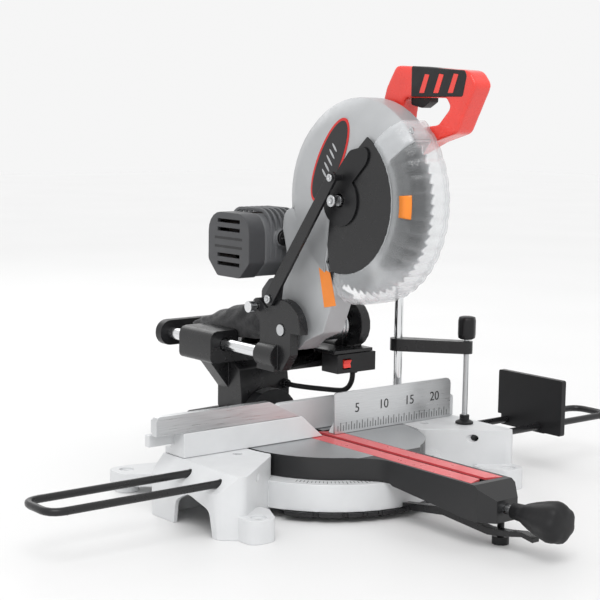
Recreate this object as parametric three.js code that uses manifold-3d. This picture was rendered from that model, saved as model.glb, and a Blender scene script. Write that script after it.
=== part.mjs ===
// Sliding compound miter saw, in millimetres.
// +X is the operator's right, +Y points away from the operator, +Z is up.
// The origin lies on the turntable's axis, in the plane the base stands on.
import * as THREE from "three";
import { mergeVertices } from "three/addons/utils/BufferGeometryUtils.js";
import Module from "manifold-3d";

const wasm = await Module();
wasm.setup();

// ---- Driving dimensions ----------------------------------------------------
const GAP = 0.4; // between pieces that touch
const TABLE = 80; // height of the table
const BASE_RADIUS = 160;
const BASE_TOP = 50;
const TURNTABLE_RADIUS = 135;
const ARM_HALF_WIDTH = 33;
const ARM_FRONT = -341;
const WING_EDGE = 243;
const LUG = { x: 222, frontY: -134, rearY: 170, hole: 5 };
const FENCE = { half: 242, depth: 14, low: 113, high: 139, sliderEnd: -284 };
const BAR = { frontY: -91, rearY: -25.7, z: TABLE - 12.2, radius: 5, tip: 488, root: 205 };
const POST = { x: 152, y: 26, radius: 6.5, top: 275 };
const CLAMP_FOOT = { x: 214, y: -52 };
const BEVEL_DISC = { radius: 46, front: 144, rear: 168 };
const RAIL = { x: 56, z: TABLE + 111, radius: 9, front: 52, rear: 306 };
const BEARING = { front: 168, rear: 249, bottom: 164, top: 211 };
const PIVOT = { y: 33, z: TABLE + 149 };
const ARBOR = { y: -73, z: TABLE + 332 };
const BLADE_RADIUS = 127;
const GUARD = { radius: 138.5, shoulder: 108, left: -46, right: 16.5 };
const HOOD = { radius: 134, shoulder: 104, left: -40, right: 13 };
const LINK = { lowY: 54, lowZ: TABLE + 190, highY: -75, highZ: TABLE + 362 };
const MOTOR = { y: 116, z: TABLE + 264, half: 47, left: -90, right: 16 };
const ROUND = 24; // sides of a plain round piece

// ---- Solids ----------------------------------------------------------------
function solidOf(geometry) {
  const plain = geometry.index ? geometry.toNonIndexed() : geometry;
  plain.deleteAttribute("normal");
  plain.deleteAttribute("uv");
  const merged = mergeVertices(plain, 1e-4);
  const make = (triVerts) => {
    const vertProperties = merged.attributes.position.array;
    return new wasm.Manifold(new wasm.Mesh({ numProp: 3, vertProperties, triVerts }));
  };
  const triangles = new Uint32Array(merged.index.array);
  const solid = make(triangles);
  return solid.volume() < 0 ? make(triangles.reverse()) : solid;
}

function geometryOf(solid) {
  const mesh = solid.getMesh();
  const geometry = new THREE.BufferGeometry();
  geometry.setAttribute("position", new THREE.BufferAttribute(mesh.vertProperties, 3));
  geometry.setIndex(new THREE.BufferAttribute(mesh.triVerts, 1));
  return geometry;
}

const join = (first, ...others) => others.reduce((sum, solid) => sum.add(solid), first);
const cut = (first, ...others) => others.reduce((rest, solid) => rest.subtract(solid), first);
const common = (first, ...others) => others.reduce((part, solid) => part.intersect(solid), first);

// Turns a shape drawn in the XY plane and extruded along Z onto the plane across an axis.
const ACROSS = {
  x: new THREE.Matrix4().set(0, 0, 1, 0, 1, 0, 0, 0, 0, 1, 0, 0, 0, 0, 0, 1),
  y: new THREE.Matrix4().set(1, 0, 0, 0, 0, 0, -1, 0, 0, 1, 0, 0, 0, 0, 0, 1),
  z: new THREE.Matrix4(),
};

// Turns a shape that stands along Y onto another axis.
const ALONG = {
  x: new THREE.Matrix4().set(0, 1, 0, 0, 0, 0, 1, 0, 1, 0, 0, 0, 0, 0, 0, 1),
  y: new THREE.Matrix4(),
  z: new THREE.Matrix4().makeRotationX(Math.PI / 2),
};

function block(x, y, z) {
  const geometry = new THREE.BoxGeometry(x[1] - x[0], y[1] - y[0], z[1] - z[0]);
  geometry.translate((x[0] + x[1]) / 2, (y[0] + y[1]) / 2, (z[0] + z[1]) / 2);
  return solidOf(geometry);
}

// An outline, given in the two axes across the named one, extruded between two places on it.
function plate(axis, points, from, to) {
  const shape = new THREE.Shape(points.map(([u, v]) => new THREE.Vector2(u, v)));
  const settings = { depth: to - from, bevelEnabled: false, steps: 1 };
  const geometry = new THREE.ExtrudeGeometry(shape, settings);
  geometry.translate(0, 0, axis === "y" ? -to : from);
  return solidOf(geometry.applyMatrix4(ACROSS[axis]));
}

// The place of a point on an axis through (u, v) in the two other axes.
function placeOn(axis, [u, v], along) {
  if (axis === "x") return [along, u, v];
  if (axis === "y") return [u, along, v];
  return [u, v, along];
}

function rod(axis, [u, v], radius, from, to, sides = ROUND) {
  const geometry = new THREE.CylinderGeometry(radius, radius, to - from, sides);
  geometry.applyMatrix4(ALONG[axis]);
  geometry.translate(...placeOn(axis, [u, v], (from + to) / 2));
  return solidOf(geometry);
}

// A profile of [radius, place on the axis] points, turned about an axis through (u, v).
function turned(axis, [u, v], profile, sides = ROUND) {
  const points = profile.map(([radius, along]) => new THREE.Vector2(radius, along));
  const geometry = new THREE.LatheGeometry(points, sides);
  geometry.applyMatrix4(ALONG[axis]);
  geometry.translate(...placeOn(axis, [u, v], 0));
  return solidOf(geometry);
}

function ring(axis, centre, outer, inner, from, to, sides = ROUND) {
  const bore = rod(axis, centre, inner, from - 1, to + 1, sides);
  return cut(rod(axis, centre, outer, from, to, sides), bore);
}

// A round tube along a smooth or straight-sided path.
function tube(curve, radius, steps, sides = 10) {
  const section = new THREE.Shape();
  for (let index = 0; index < sides; index++) {
    const angle = (index / sides) * 2 * Math.PI;
    const place = [radius * Math.cos(angle), radius * Math.sin(angle)];
    if (index === 0) section.moveTo(...place);
    else section.lineTo(...place);
  }
  const settings = { steps, extrudePath: curve, bevelEnabled: false };
  return solidOf(new THREE.ExtrudeGeometry(section, settings));
}

// Points of an arc about (u, v), with angles in degrees.
function arc(u, v, radius, from, to, step = 12) {
  const count = Math.max(1, Math.ceil(Math.abs(to - from) / step));
  return Array.from({ length: count + 1 }, (_, index) => {
    const angle = THREE.MathUtils.degToRad(from + ((to - from) * index) / count);
    return [u + radius * Math.cos(angle), v + radius * Math.sin(angle)];
  });
}

// A polygon whose corners [u, v, radius] are rounded by that radius.
function rounded(corners, step = 30) {
  const points = [];
  corners.forEach(([u, v, radius = 0], index) => {
    const here = new THREE.Vector2(u, v);
    if (!radius) {
      points.push([u, v]);
      return;
    }
    const near = corners[(index + corners.length - 1) % corners.length];
    const next = corners[(index + 1) % corners.length];
    const back = new THREE.Vector2(near[0], near[1]).sub(here).normalize();
    const ahead = new THREE.Vector2(next[0], next[1]).sub(here).normalize();
    const half = Math.acos(THREE.MathUtils.clamp(back.dot(ahead), -1, 1)) / 2;
    const middle = back.clone().add(ahead).normalize();
    const centre = here.clone().addScaledVector(middle, radius / Math.sin(half));
    const start = here.clone().addScaledVector(back, radius / Math.tan(half)).sub(centre);
    const end = here.clone().addScaledVector(ahead, radius / Math.tan(half)).sub(centre);
    const turn = Math.atan2(start.cross(end), start.dot(end));
    const first = start.angle();
    const degrees = THREE.MathUtils.radToDeg;
    points.push(...arc(centre.x, centre.y, radius, degrees(first), degrees(first + turn), step));
  });
  return points;
}

// The outline round two circles of different size: a lever, link or belt.
function lever([u0, v0], radius0, [u1, v1], radius1, step = 20) {
  const length = Math.hypot(u1 - u0, v1 - v0);
  const heading = THREE.MathUtils.radToDeg(Math.atan2(v1 - v0, u1 - u0));
  const spread = THREE.MathUtils.radToDeg(Math.acos((radius0 - radius1) / length));
  return [
    ...arc(u0, v0, radius0, heading + spread, heading + 360 - spread, step),
    ...arc(u1, v1, radius1, heading - spread, heading + spread, step),
  ];
}

// ---- Materials -------------------------------------------------------------
const finish = (color, roughness, metalness, extra = {}) =>
  new THREE.MeshStandardMaterial({ color, roughness, metalness, ...extra });
const castingWhite = finish(0xd9dadd, 0.5, 0.1);
const castingGrey = finish(0xb9bbbf, 0.45, 0.2);
const blackPaint = finish(0x17181a, 0.45, 0.2);
const blackPlastic = finish(0x1b1c1e, 0.6, 0);
const tableMetal = finish(0xa9adb0, 0.35, 0.8);
const aluminium = finish(0xb4b8bc, 0.35, 0.9);
const chrome = finish(0xd5d9dd, 0.12, 1);
const steel = finish(0x9fa4a8, 0.35, 0.9);
const bladeSteel = finish(0x8f9498, 0.3, 0.9);
const redPlastic = finish(0xe8413a, 0.45, 0);
const pinkPlastic = finish(0xe2676a, 0.4, 0);
const greyPlastic = finish(0x55585c, 0.55, 0);
const darkPlastic = finish(0x3a3c40, 0.55, 0);
const rubber = finish(0x2a2b2d, 0.8, 0);
const fabric = finish(0x202124, 0.95, 0);
const clear = finish(0xe6eef2, 0.1, 0, { transparent: true, opacity: 0.3 });
const copper = finish(0x9a5b34, 0.4, 0.8);

// ---- Base ------------------------------------------------------------------
// One side of the base: a hollow block beside the turntable with an arch in its outer wall.
function wing(side) {
  const flip = (points) => points.map(([x, other]) => [side * x, other]);
  const section = [[118, 0], [262, 0], [264, 56], [WING_EDGE, TABLE], [118, TABLE]];
  const plan = rounded([[118, 46], [264, 46, 6], [264, -102, 18], [236, -126, 12],
    [139, -50, 8], [118, -20]]);
  const outer = common(plate("y", flip(section), -130, 50), plate("z", flip(plan), 0, TABLE));
  const hollowSection = [[128, -1], [256, -1], [258, 54], [238, 73], [128, 73]];
  const hollowPlan = [[128, 39], [257, 39], [257, -98], [234, -117], [141, -43], [128, -20]];
  const hollow = common(plate("y", flip(hollowSection), -120, 45),
    plate("z", flip(hollowPlan), -1, TABLE));
  const arch = rounded([[-6, -1], [-12, 32, 14], [-40, 46, 20], [-86, 34, 12], [-92, -1]]);
  const bars = [BAR.frontY, BAR.rearY].map((y) =>
    rod("x", [y, BAR.z], BAR.radius + 0.35, side > 0 ? 150 : -280, side > 0 ? 280 : -150, 20));
  const clampHole = rod("z", [side * 168, -16], 6.5, 60, 90, 20);
  return {
    outer,
    inner: [cut(hollow, rod("z", [0, 0], BASE_RADIUS, -5, 90, 48))],
    after: [plate("x", arch, side > 0 ? 235 : -270, side > 0 ? 270 : -235), clampHole, ...bars],
  };
}

function baseLug(side, front) {
  const flip = (points) => points.map(([x, y, r = 0]) => [side * x, y, r]);
  const y = front ? LUG.frontY : LUG.rearY;
  const outline = front
    ? [[190, -96], [243, -96], [243, -150, 14], [207, -150, 14], [188, -112]]
    : [[52, 148], [120, 96], [170, 96, 20], [243, 150, 12], [243, 190, 14], [206, 190, 14]];
  const pad = plate("z", rounded(flip(outline)), front ? 0 : 12, 30);
  const foot = rod("z", [side * LUG.x, y], 17, 0, 30);
  const hole = rod("z", [side * LUG.x, y], LUG.hole, -1, 31, 20);
  const seat = rod("z", [side * LUG.x, y], 10, 27, 31);
  return { solid: front ? pad : join(pad, foot), holes: [hole, seat] };
}

// The rear of the deck steps down, so that the tilting arm can swing round over it.
function rearShelf() {
  const floor = ring("z", [0, 0], BASE_RADIUS, 113, 26, 31, 48);
  const wall = ring("z", [0, 0], 122, 113, 14, BASE_TOP, 48);
  const rear = plate("z", [[0, 0], ...arc(0, 0, 200, 18, 162, 36)], 0, BASE_TOP);
  return common(join(floor, wall), rear);
}

function baseCasting() {
  const deck = cut(rod("z", [0, 0], BASE_RADIUS, 14, BASE_TOP, 48),
    rod("z", [0, 0], BASE_RADIUS - 9, 13, 42, 48));
  const hub = rod("z", [0, 0], 28, 0, 44);
  const ribs = [0, 1, 2].map((index) => {
    const rib = new THREE.BoxGeometry(2 * BASE_RADIUS - 10, 6, 24);
    rib.translate(0, 0, 32);
    rib.rotateZ((index * Math.PI) / 3 + Math.PI / 6);
    return solidOf(rib);
  });
  const swing = cut(plate("z", [[0, 0], ...arc(0, 0, 220, 20, 160, 20)], 31, 90),
    rod("z", [0, 0], 122, 30, 91, 48));
  const wings = [1, -1].map(wing);
  const lugs = [[1, true], [-1, true], [1, false], [-1, false]].map((at) => baseLug(...at));
  const gland = rod("y", GLAND.base, GLAND.radius, 151, 158, 16);
  const middle = cut(join(deck, hub, ...ribs, rearShelf()), swing);
  const body = join(middle, gland, ...wings.map((w) => w.outer), ...lugs.map((l) => l.solid));
  const turntableRoom = rod("z", [0, 0], TURNTABLE_RADIUS + 4, BASE_TOP, 90, 48);
  const pinRoom = rod("z", [0, 0], 8.4, 12, 60, 20);
  return cut(body, ...wings.flatMap((w) => w.inner), ...wings.flatMap((w) => w.after),
    ...lugs.flatMap((l) => l.holes), turntableRoom, pinRoom);
}

// The notched ring under the rim that the detent lever drops into.
function detentPlate() {
  const outline = [...arc(0, 0, 164, -150, -30, 7.5), ...arc(0, 0, 136, -30, -150, 12)];
  const notches = [-45, -31.6, -22.5, -15, 0, 15, 22.5, 31.6, 45].map((angle) => {
    const notch = new THREE.CylinderGeometry(4.5, 4.5, 12, 8);
    notch.applyMatrix4(ALONG.z);
    notch.translate(0, -165, 10);
    notch.rotateZ(THREE.MathUtils.degToRad(angle));
    return solidOf(notch);
  });
  return cut(plate("z", outline, 8, 14 - GAP), ...notches);
}

function fenceCasting() {
  const y = [0, FENCE.depth];
  const low = TABLE + GAP;
  const left = plate("y", [[-FENCE.half, low], [-9, low], [-47, FENCE.low],
    [-FENCE.half, FENCE.low]], ...y);
  const right = plate("y", rounded([[11, low], [FENCE.half, low], [FENCE.half, FENCE.low, 6],
    [34, FENCE.low, 6]]), ...y);
  const feet = [-1, 1].map((side) =>
    block(side > 0 ? [60, FENCE.half] : [-FENCE.half, -60], [0, 44], [low, low + 9]));
  const bridge = plate("y", rounded([[-82, low], [82, low], [82, 104, 8], [52, 124, 10],
    [-52, 124, 10], [-82, 104, 8]]), 42, 52);
  const cheeks = [-1, 1].map((side) =>
    block(side > 0 ? [70, 82] : [-82, -70], [10, 50], [low, 104]));
  const socket = join(rod("z", [POST.x, POST.y], 14, low, 108),
    rod("z", [-POST.x, POST.y], 14, low, 108));
  const rail = block([-282, -FENCE.half + 10], [21, 31], [96, 112]);
  const railWeb = block([-FENCE.half, -FENCE.half + 12], [10, 31], [low, 112]);
  const holes = [-1, 1].map((side) =>
    rod("z", [side * POST.x, POST.y], POST.radius + 0.35, low + 6, 120, 20));
  return cut(join(left, right, ...feet, bridge, ...cheeks, socket, rail, railWeb), ...holes);
}

// The upper half of the left fence, which draws out to clear a tilted head.
function fenceSlider() {
  const face = plate("y", rounded([[FENCE.sliderEnd, FENCE.low + GAP], [-50, FENCE.low + GAP],
    [-103, FENCE.high, 3], [FENCE.sliderEnd, FENCE.high, 6]]), 0.6, 11);
  const stiffener = block([FENCE.sliderEnd + 4, -150], [9, 20], [116, FENCE.high - 6]);
  return join(face, stiffener);
}

const rulerPlate = () => plate("y", rounded([[9, TABLE + GAP], [233, TABLE + GAP, 2],
  [233, FENCE.high, 9], [9, FENCE.high, 3]]), -3, -GAP);

// A round bar bent into a U, with both legs in the base.
function supportBar(side) {
  const corner = 22;
  const at = (x, y) => new THREE.Vector3(side * x, y, BAR.z);
  const bend = new THREE.CurvePath();
  const turn = (from, by, to) => bend.add(new THREE.QuadraticBezierCurve3(from, by, to));
  turn(at(BAR.tip - corner, BAR.frontY), at(BAR.tip, BAR.frontY), at(BAR.tip, BAR.frontY + corner));
  bend.add(new THREE.LineCurve3(at(BAR.tip, BAR.frontY + corner), at(BAR.tip, BAR.rearY - corner)));
  turn(at(BAR.tip, BAR.rearY - corner), at(BAR.tip, BAR.rearY), at(BAR.tip - corner, BAR.rearY));
  const [from, to] = [side * BAR.root, side * (BAR.tip - corner + 0.5)].sort((a, b) => a - b);
  const legs = [BAR.frontY, BAR.rearY].map((y) => rod("x", [y, BAR.z], BAR.radius, from, to, 12));
  return join(tube(bend, BAR.radius, 14, 12), ...legs);
}

// The end stop on the right bar: an upright plate on a clip that grips both legs.
const STOP_X = 330;
function stopPlate() {
  const face = plate("x", rounded([[-8, BAR.z + 7], [-8, 142, 3], [-134, 142, 3],
    [-134, BAR.z - 8, 3], [-104, BAR.z - 8], [-60, BAR.z + 7]]), STOP_X, STOP_X + 9);
  const clip = block([STOP_X, STOP_X + 34], [-102, -15], [BAR.z - 9, BAR.z + 8]);
  const grooves = [BAR.frontY, BAR.rearY].map((y) =>
    rod("x", [y, BAR.z], BAR.radius + 0.35, STOP_X - 2, STOP_X + 40, 20));
  return cut(join(face, clip), ...grooves);
}

// ---- Work clamp --------------------------------------------------------------
const clampPost = () => rod("z", [POST.x, POST.y], POST.radius, TABLE + 8, POST.top, 24);

const CLAMP_ARM = { low: 183, high: 201 };
function clampArm() {
  const outline = lever([POST.x, POST.y], 12, [CLAMP_FOOT.x, CLAMP_FOOT.y], 9, 20);
  const body = plate("z", outline, CLAMP_ARM.low, CLAMP_ARM.high);
  const bores = [rod("z", [POST.x, POST.y], POST.radius + 0.35, 170, 210, 24),
    rod("z", [CLAMP_FOOT.x, CLAMP_FOOT.y], 4.6, 170, 210, 20)];
  return cut(body, ...bores);
}

function clampScrew() {
  const screw = rod("z", [CLAMP_FOOT.x, CLAMP_FOOT.y], 4.2, TABLE + 8, 216, 20);
  const knob = turned("z", [CLAMP_FOOT.x, CLAMP_FOOT.y],
    [[0, 204], [12, 204], [13, 210], [11, 232], [8, 236], [0, 237]], 16);
  return join(screw, knob);
}

function clampPad() {
  const profile = [[0, TABLE + GAP], [13, TABLE + GAP], [13, TABLE + 3], [7, TABLE + 6],
    [7, TABLE + 13], [4.6, TABLE + 13], [4.6, TABLE + 7], [0, TABLE + 7]];
  return turned("z", [CLAMP_FOOT.x, CLAMP_FOOT.y], profile, 24);
}

// ---- Turntable ----------------------------------------------------------------
const KERF = { half: 28, rear: 28, front: -306, thick: 3 };
const TURNTABLE_LOW = BASE_TOP + GAP;
const LOCK_Z = 51;

function turntableCasting() {
  const flare = rounded([[-ARM_HALF_WIDTH, -322], [-18, ARM_FRONT], [18, ARM_FRONT],
    [ARM_HALF_WIDTH, -322], [ARM_HALF_WIDTH, -150, 40], [75, -108], [-75, -108],
    [-ARM_HALF_WIDTH, -150, 40]], 15);
  const side = [[-60, TABLE], [-316, TABLE], [ARM_FRONT, TABLE - 17], [ARM_FRONT, 35],
    [-304, 35], [-170, 48], [-165, TURNTABLE_LOW], [-60, TURNTABLE_LOW]];
  const arm = common(plate("z", flare, 20, TABLE), plate("x", side, -120, 120));
  const disc = rod("z", [0, 0], TURNTABLE_RADIUS, TURNTABLE_LOW, TABLE, 56);
  const neck = block([-46, 46], [100, 142], [TURNTABLE_LOW, TABLE]);
  const face = plate("y", [[-46, TURNTABLE_LOW], [46, TURNTABLE_LOW],
    ...arc(0, TABLE, BEVEL_DISC.radius, -20, 200, 12)], 126, BEVEL_DISC.front - 1);
  const underDisc = cut(rod("z", [0, 0], 122, TURNTABLE_LOW - 1, 71, 40),
    rod("z", [0, 0], 24, TURNTABLE_LOW - 1, 71));
  const underArm = block([-26, 26], [-330, -100], [20, 70]);
  const lane = block([-9, 14], [-298, 46], [TURNTABLE_LOW - 20, 90]);
  const insert = block([-KERF.half - GAP, KERF.half + GAP], [KERF.front - GAP, KERF.rear + GAP],
    [TABLE - KERF.thick - GAP, 90]);
  const pivotBolt = rod("z", [0, 0], 8.4, TURNTABLE_LOW - 1, TABLE - 10, 24);
  const bevelBolt = rod("y", [0, TABLE], 6.4, 117, 150, 16);
  const lockScrewHole = rod("y", [0, LOCK_Z], 6.4, ARM_FRONT - 5, -325, 16);
  const shortLane = block([-9, 14], [-298, -26], [TURNTABLE_LOW - 20, 90]);
  const shortSlot = block([-9, 14], [24, 46], [TURNTABLE_LOW - 20, 90]);
  const body = join(disc, arm, neck, face);
  return cut(body, underDisc, underArm, insert, pivotBolt, bevelBolt, lockScrewHole,
    cut(lane, rod("z", [0, 0], 24, 0, 66)), shortLane, shortSlot);
}

const pivotPin = () => rod("z", [0, 0], 8, 12 + GAP, TABLE - 10 - GAP, 20);

function kerfPlate(side) {
  const x = side > 0 ? [5.5, KERF.half] : [-KERF.half, -4];
  const points = side > 0
    ? [[x[0], KERF.rear], [x[1], KERF.rear - 10], [x[1], KERF.front], [x[0], -297]]
    : [[x[0], KERF.rear - 10], [x[1], KERF.rear], [x[1], -297], [x[0], KERF.front]];
  return plate("z", points, TABLE - KERF.thick, TABLE);
}

const lockScrew = () => rod("y", [0, LOCK_Z], 6, -352, -300, 16);
const lockKnob = () => turned("y", [0, LOCK_Z], [[0, -352.4], [10, -352.4], [11, -368], [14, -374],
  [23, -402], [26, -416], [24, -427], [16, -432], [0, -433]], 20);

// A bent strip under the arm, hung from two ears, that lifts out of a notch when it is pressed.
function detentLever() {
  const profile = [[-165, 13], [-165, 22], [-234, 32], [-234, 54], [-246, 54], [-246, 32],
    [-318, 24], [-350, 27], [-374, 31], [-392, 28], [-392, 22], [-374, 25], [-350, 20],
    [-318, 15], [-240, 22]];
  return cut(plate("x", profile, -10, 2), rod("x", [-240, 48], 2.5, -12, 4, 12));
}

const FOOT = { x: 14, y: -318 };
function footScrew() {
  const screw = rod("z", [FOOT.x, FOOT.y], 4.5, 8, 66, 16);
  const knob = rod("z", [FOOT.x, FOOT.y], 11, 0, 10, 12);
  return join(screw, knob);
}

const bevelBolt = () => rod("y", [0, TABLE], 6, 118, 205, 16);

// ---- Bevel arm and carriage ------------------------------------------------------
function bevelHousing() {
  const side = rounded([[144, TABLE], [190, TABLE], [203, 96], [203, 150],
    [BEARING.rear, BEARING.bottom, 6], [BEARING.rear, BEARING.top, 8],
    [BEARING.front, BEARING.top, 8], [BEARING.front, BEARING.bottom], [150, 156, 6], [144, 120]]);
  const column = plate("x", side, -44, 44);
  const bearings = [-1, 1].map((turn) => {
    const outline = rounded([[turn * 36, BEARING.bottom], [turn * 82, BEARING.bottom, 8],
      [turn * 82, BEARING.top, 12], [turn * 36, BEARING.top, 6]]);
    return plate("y", outline, BEARING.front, BEARING.rear);
  });
  const gussets = [-1, 1].map((turn) => plate("y", [[turn * 40, 120],
    [turn * 76, BEARING.bottom + 1], [turn * 40, BEARING.bottom + 1]], 176, 203));
  const disc = rod("y", [0, TABLE], BEVEL_DISC.radius, BEVEL_DISC.front, BEVEL_DISC.rear, 40);
  const bores = [-1, 1].map((turn) =>
    rod("y", [turn * RAIL.x, RAIL.z], RAIL.radius + 0.3, 150, 270, 20));
  const trough = block([-32, 32], [140, 260], [188, 220]);
  const bolt = rod("y", [0, TABLE], 6.4, 140, 210, 16);
  const gland = rod("y", GLAND.arm, GLAND.radius, 137.6, 148, 16);
  return cut(join(column, ...bearings, ...gussets, disc, gland), ...bores, trough, bolt);
}

function bevelLever() {
  const outline = lever([0, TABLE], 12, [-86, TABLE + 4], 6, 30);
  return cut(plate("y", outline, 206, 215), rod("y", [0, TABLE], 5.6, 200, 220, 16));
}

const slideKnob = () => turned("x", [208, RAIL.z - 2],
  [[0, 82.4], [5, 82.4], [5, 96], [14, 98], [15, 112], [11, 116], [0, 117]], 12);

const rail = (side) => rod("y", [side * RAIL.x, RAIL.z], RAIL.radius, RAIL.front, RAIL.rear, 20);

function railCap() {
  const outline = rounded([[-76, 172, 18], [76, 172, 18], [76, 210, 18], [-76, 210, 18]], 15);
  return plate("y", outline, RAIL.rear + GAP, RAIL.rear + 15);
}

const EAR = { left: [-60, -46], right: [58, 74], radius: 42 };
function carriageYoke() {
  const at = [PIVOT.y, PIVOT.z];
  const leftEar = plate("x", earOutline(), ...EAR.left);
  const rightEar = plate("x", lever(at, 34, [62, 196], 16), ...EAR.right);
  const bar = block([-66, 76], [40, 80], [170, 198]);
  const sockets = [-1, 1].map((side) => rod("y", [side * RAIL.x, RAIL.z], 17, 40, 80, 24));
  const tray = block([6, 76], [-4, 42], [193, 198]);
  const bores = [-1, 1].map((side) =>
    rod("y", [side * RAIL.x, RAIL.z], RAIL.radius + 0.3, RAIL.front - GAP, 90, 20));
  const shaft = rod("x", at, 8.3, -70, 90, 24);
  const pin = rod("x", [88, 256], 4.4, -70, -40, 16);
  return cut(join(leftEar, rightEar, bar, ...sockets, tray), ...bores, shaft, pin);
}

// The left ear: a disc about the pivot with a lobe for the hold-down pin and a foot on the bar.
function earOutline() {
  return [...arc(PIVOT.y, PIVOT.z, EAR.radius, 40, 184, 12), [12, 226], [12, 196], [30, 172],
    [80, 172], [82, 236],
    ...arc(88, 256, 12, -30, 130, 20)];
}

const pivotShaft = () => rod("x", [PIVOT.y, PIVOT.z], 8, -62, 78, 24);
const headSpring = () => ring("x", [PIVOT.y, PIVOT.z], 22, 15, 4, 50, 24);

function switchBox() {
  const gland = rod("z", GLAND.box, GLAND.radius, 160, 167, 16);
  const body = join(block([10, 80], [-6, 29], [166, 192.6]), gland);
  return cut(body, block([20, 34], [-10, 4], [172, 186]));
}

const rockerSwitch = () => plate("x", [[1, 173.6], [-7.5, 173.6], [-6, 179], [-9, 184.4],
  [1, 184.4]], 20.6, 33.4);
const lockPin = () => join(rod("x", [88, 256], 4, -66, -47, 14), rod("x", [88, 256], 8, -76, -65, 16));

// ---- Head --------------------------------------------------------------------------
const AXLE = [ARBOR.y, ARBOR.z];

// Half a section through the hood, or through the room inside it, turned about the arbor.
const hoodProfile = (inset) => [
  [0, HOOD.left + inset], [HOOD.shoulder - inset, HOOD.left + inset],
  [HOOD.radius - 8 - inset, HOOD.left + 12 + inset / 2], [HOOD.radius - inset, HOOD.left + 22 + inset],
  [HOOD.radius - inset, HOOD.right - inset], [0, HOOD.right - inset]];

function headCasting() {
  const dome = turned("x", AXLE, hoodProfile(0), 48);
  const hoodSide = [...arc(...AXLE, 150, 142, 2, 10), [40, 330], [-30, 290], [-44, 362],
    [-46, 410], [-84, 444], [-112, 470], [-146, 452]];
  const hood = common(dome, plate("x", hoodSide, -60, 60));
  const neckSide = rounded([[58, 400, 20], [61, 366], [50, 330, 30], [62, 262, 14],
    ...arc(PIVOT.y, PIVOT.z, 30, 40, -110, 20), [4, 216, 10], [-30, 230, 6], [-36, 244],
    [-56, 290, 10], [-48, 300], [-36, 330], [-34, 380]]);
  const neck = plate("x", neckSide, -38, -2);
  const room = turned("x", AXLE, hoodProfile(3.6), 48);
  const rightWeb = plate("x", lever(AXLE, 40, [10, 300], 24), HOOD.right - 4, HOOD.right);
  const body = cut(join(hood, neck), room);
  const boss = ring("x", AXLE, 24, 13, HOOD.left - 2, HOOD.left + 4, 32);
  const cheek = cut(rod("x", AXLE, 42, HOOD.left, HOOD.left + 3.6, 32),
    rod("x", AXLE, 13, -60, 0, 24));
  const rightCheek = rod("x", AXLE, 42, HOOD.right - 4, HOOD.right, 32);
  return cut(join(body, cheek, boss, rightCheek, rightWeb), rod("x", AXLE, 13, -60, 0, 24),
    rod("x", AXLE, 12, 0, 60, 24), rod("x", [PIVOT.y, PIVOT.z], 8.3, -70, 70, 24));
}

const motorAxle = [MOTOR.y, MOTOR.z];
function gearCase() {
  const outline = lever(AXLE, 44, motorAxle, 40, 15);
  const shell = plate("x", outline, HOOD.right + GAP, 46);
  const room = plate("x", lever(AXLE, 38, motorAxle, 34, 15), HOOD.right + 4, 42);
  const openings = [rod("x", AXLE, 12, 0, 30, 24), rod("x", motorAxle, 12, 0, 30, 24)];
  return cut(shell, room, ...openings);
}

// A boxy housing with a rounded top and chamfered lower edges, between two places on X.
function motorOutline(grow) {
  const half = MOTOR.half + grow;
  return rounded([[MOTOR.y - half, MOTOR.z - 26, 8], [MOTOR.y - half + 22, MOTOR.z - half, 8],
    [MOTOR.y + half - 22, MOTOR.z - half, 8], [MOTOR.y + half, MOTOR.z - 26, 8],
    [MOTOR.y + half, MOTOR.z + half - 6, 28], [MOTOR.y - half, MOTOR.z + half - 6, 28]], 20);
}

function motorHousing() {
  const shell = plate("x", motorOutline(0), -62, MOTOR.right - 10);
  const room = rod("x", motorAxle, MOTOR.half - 5, -63, MOTOR.right - 16, 36);
  const brush = rod("y", [-32, MOTOR.z + 8], 13.5, MOTOR.y - MOTOR.half - 5, MOTOR.y - 30, 24);
  const brushRoom = rod("y", [-32, MOTOR.z + 8], 10.4, MOTOR.y - MOTOR.half - 6, MOTOR.y - 28, 24);
  return cut(join(shell, brush), room, rod("x", motorAxle, 9, -70, 20, 24), brushRoom);
}

function motorEndCap() {
  const shell = plate("x", motorOutline(1), MOTOR.left, -62 - GAP);
  const room = rod("x", motorAxle, MOTOR.half - 6, MOTOR.left + 6, -60, 36);
  const vents = [-30, -18, 18, 30].map((height) => block([MOTOR.left - 2, MOTOR.left + 8],
    [MOTOR.y - 26, MOTOR.y + 26], [MOTOR.z + height - 2.5, MOTOR.z + height + 2.5]));
  return cut(shell, room, ...vents);
}

function motorArmature() {
  const shaft = rod("x", motorAxle, 5, -78, 36, 16);
  const core = rod("x", motorAxle, 25, -48, -12, 24);
  const commutator = rod("x", motorAxle, 12, -66, -50, 20);
  const fan = rod("x", motorAxle, 36, -9, -2, 24);
  return join(shaft, core, commutator, fan);
}

const motorPulley = () => cut(rod("x", motorAxle, 11, 24, 38, 20), rod("x", motorAxle, 5.35, 20, 40, 16));
const arborPulley = () => cut(rod("x", AXLE, 30, 24, 38, 28), rod("x", AXLE, 8.35, 20, 40, 20));
function driveBelt() {
  const outer = plate("x", lever(AXLE, 33.5, motorAxle, 14.5, 15), 25, 37);
  return cut(outer, plate("x", lever(AXLE, 30.5, motorAxle, 11.5, 15), 24, 38));
}

const arborShaft = () => join(rod("x", AXLE, 8, -8, 38.4, 20), rod("x", AXLE, 11, 5, 20, 24));

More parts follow.
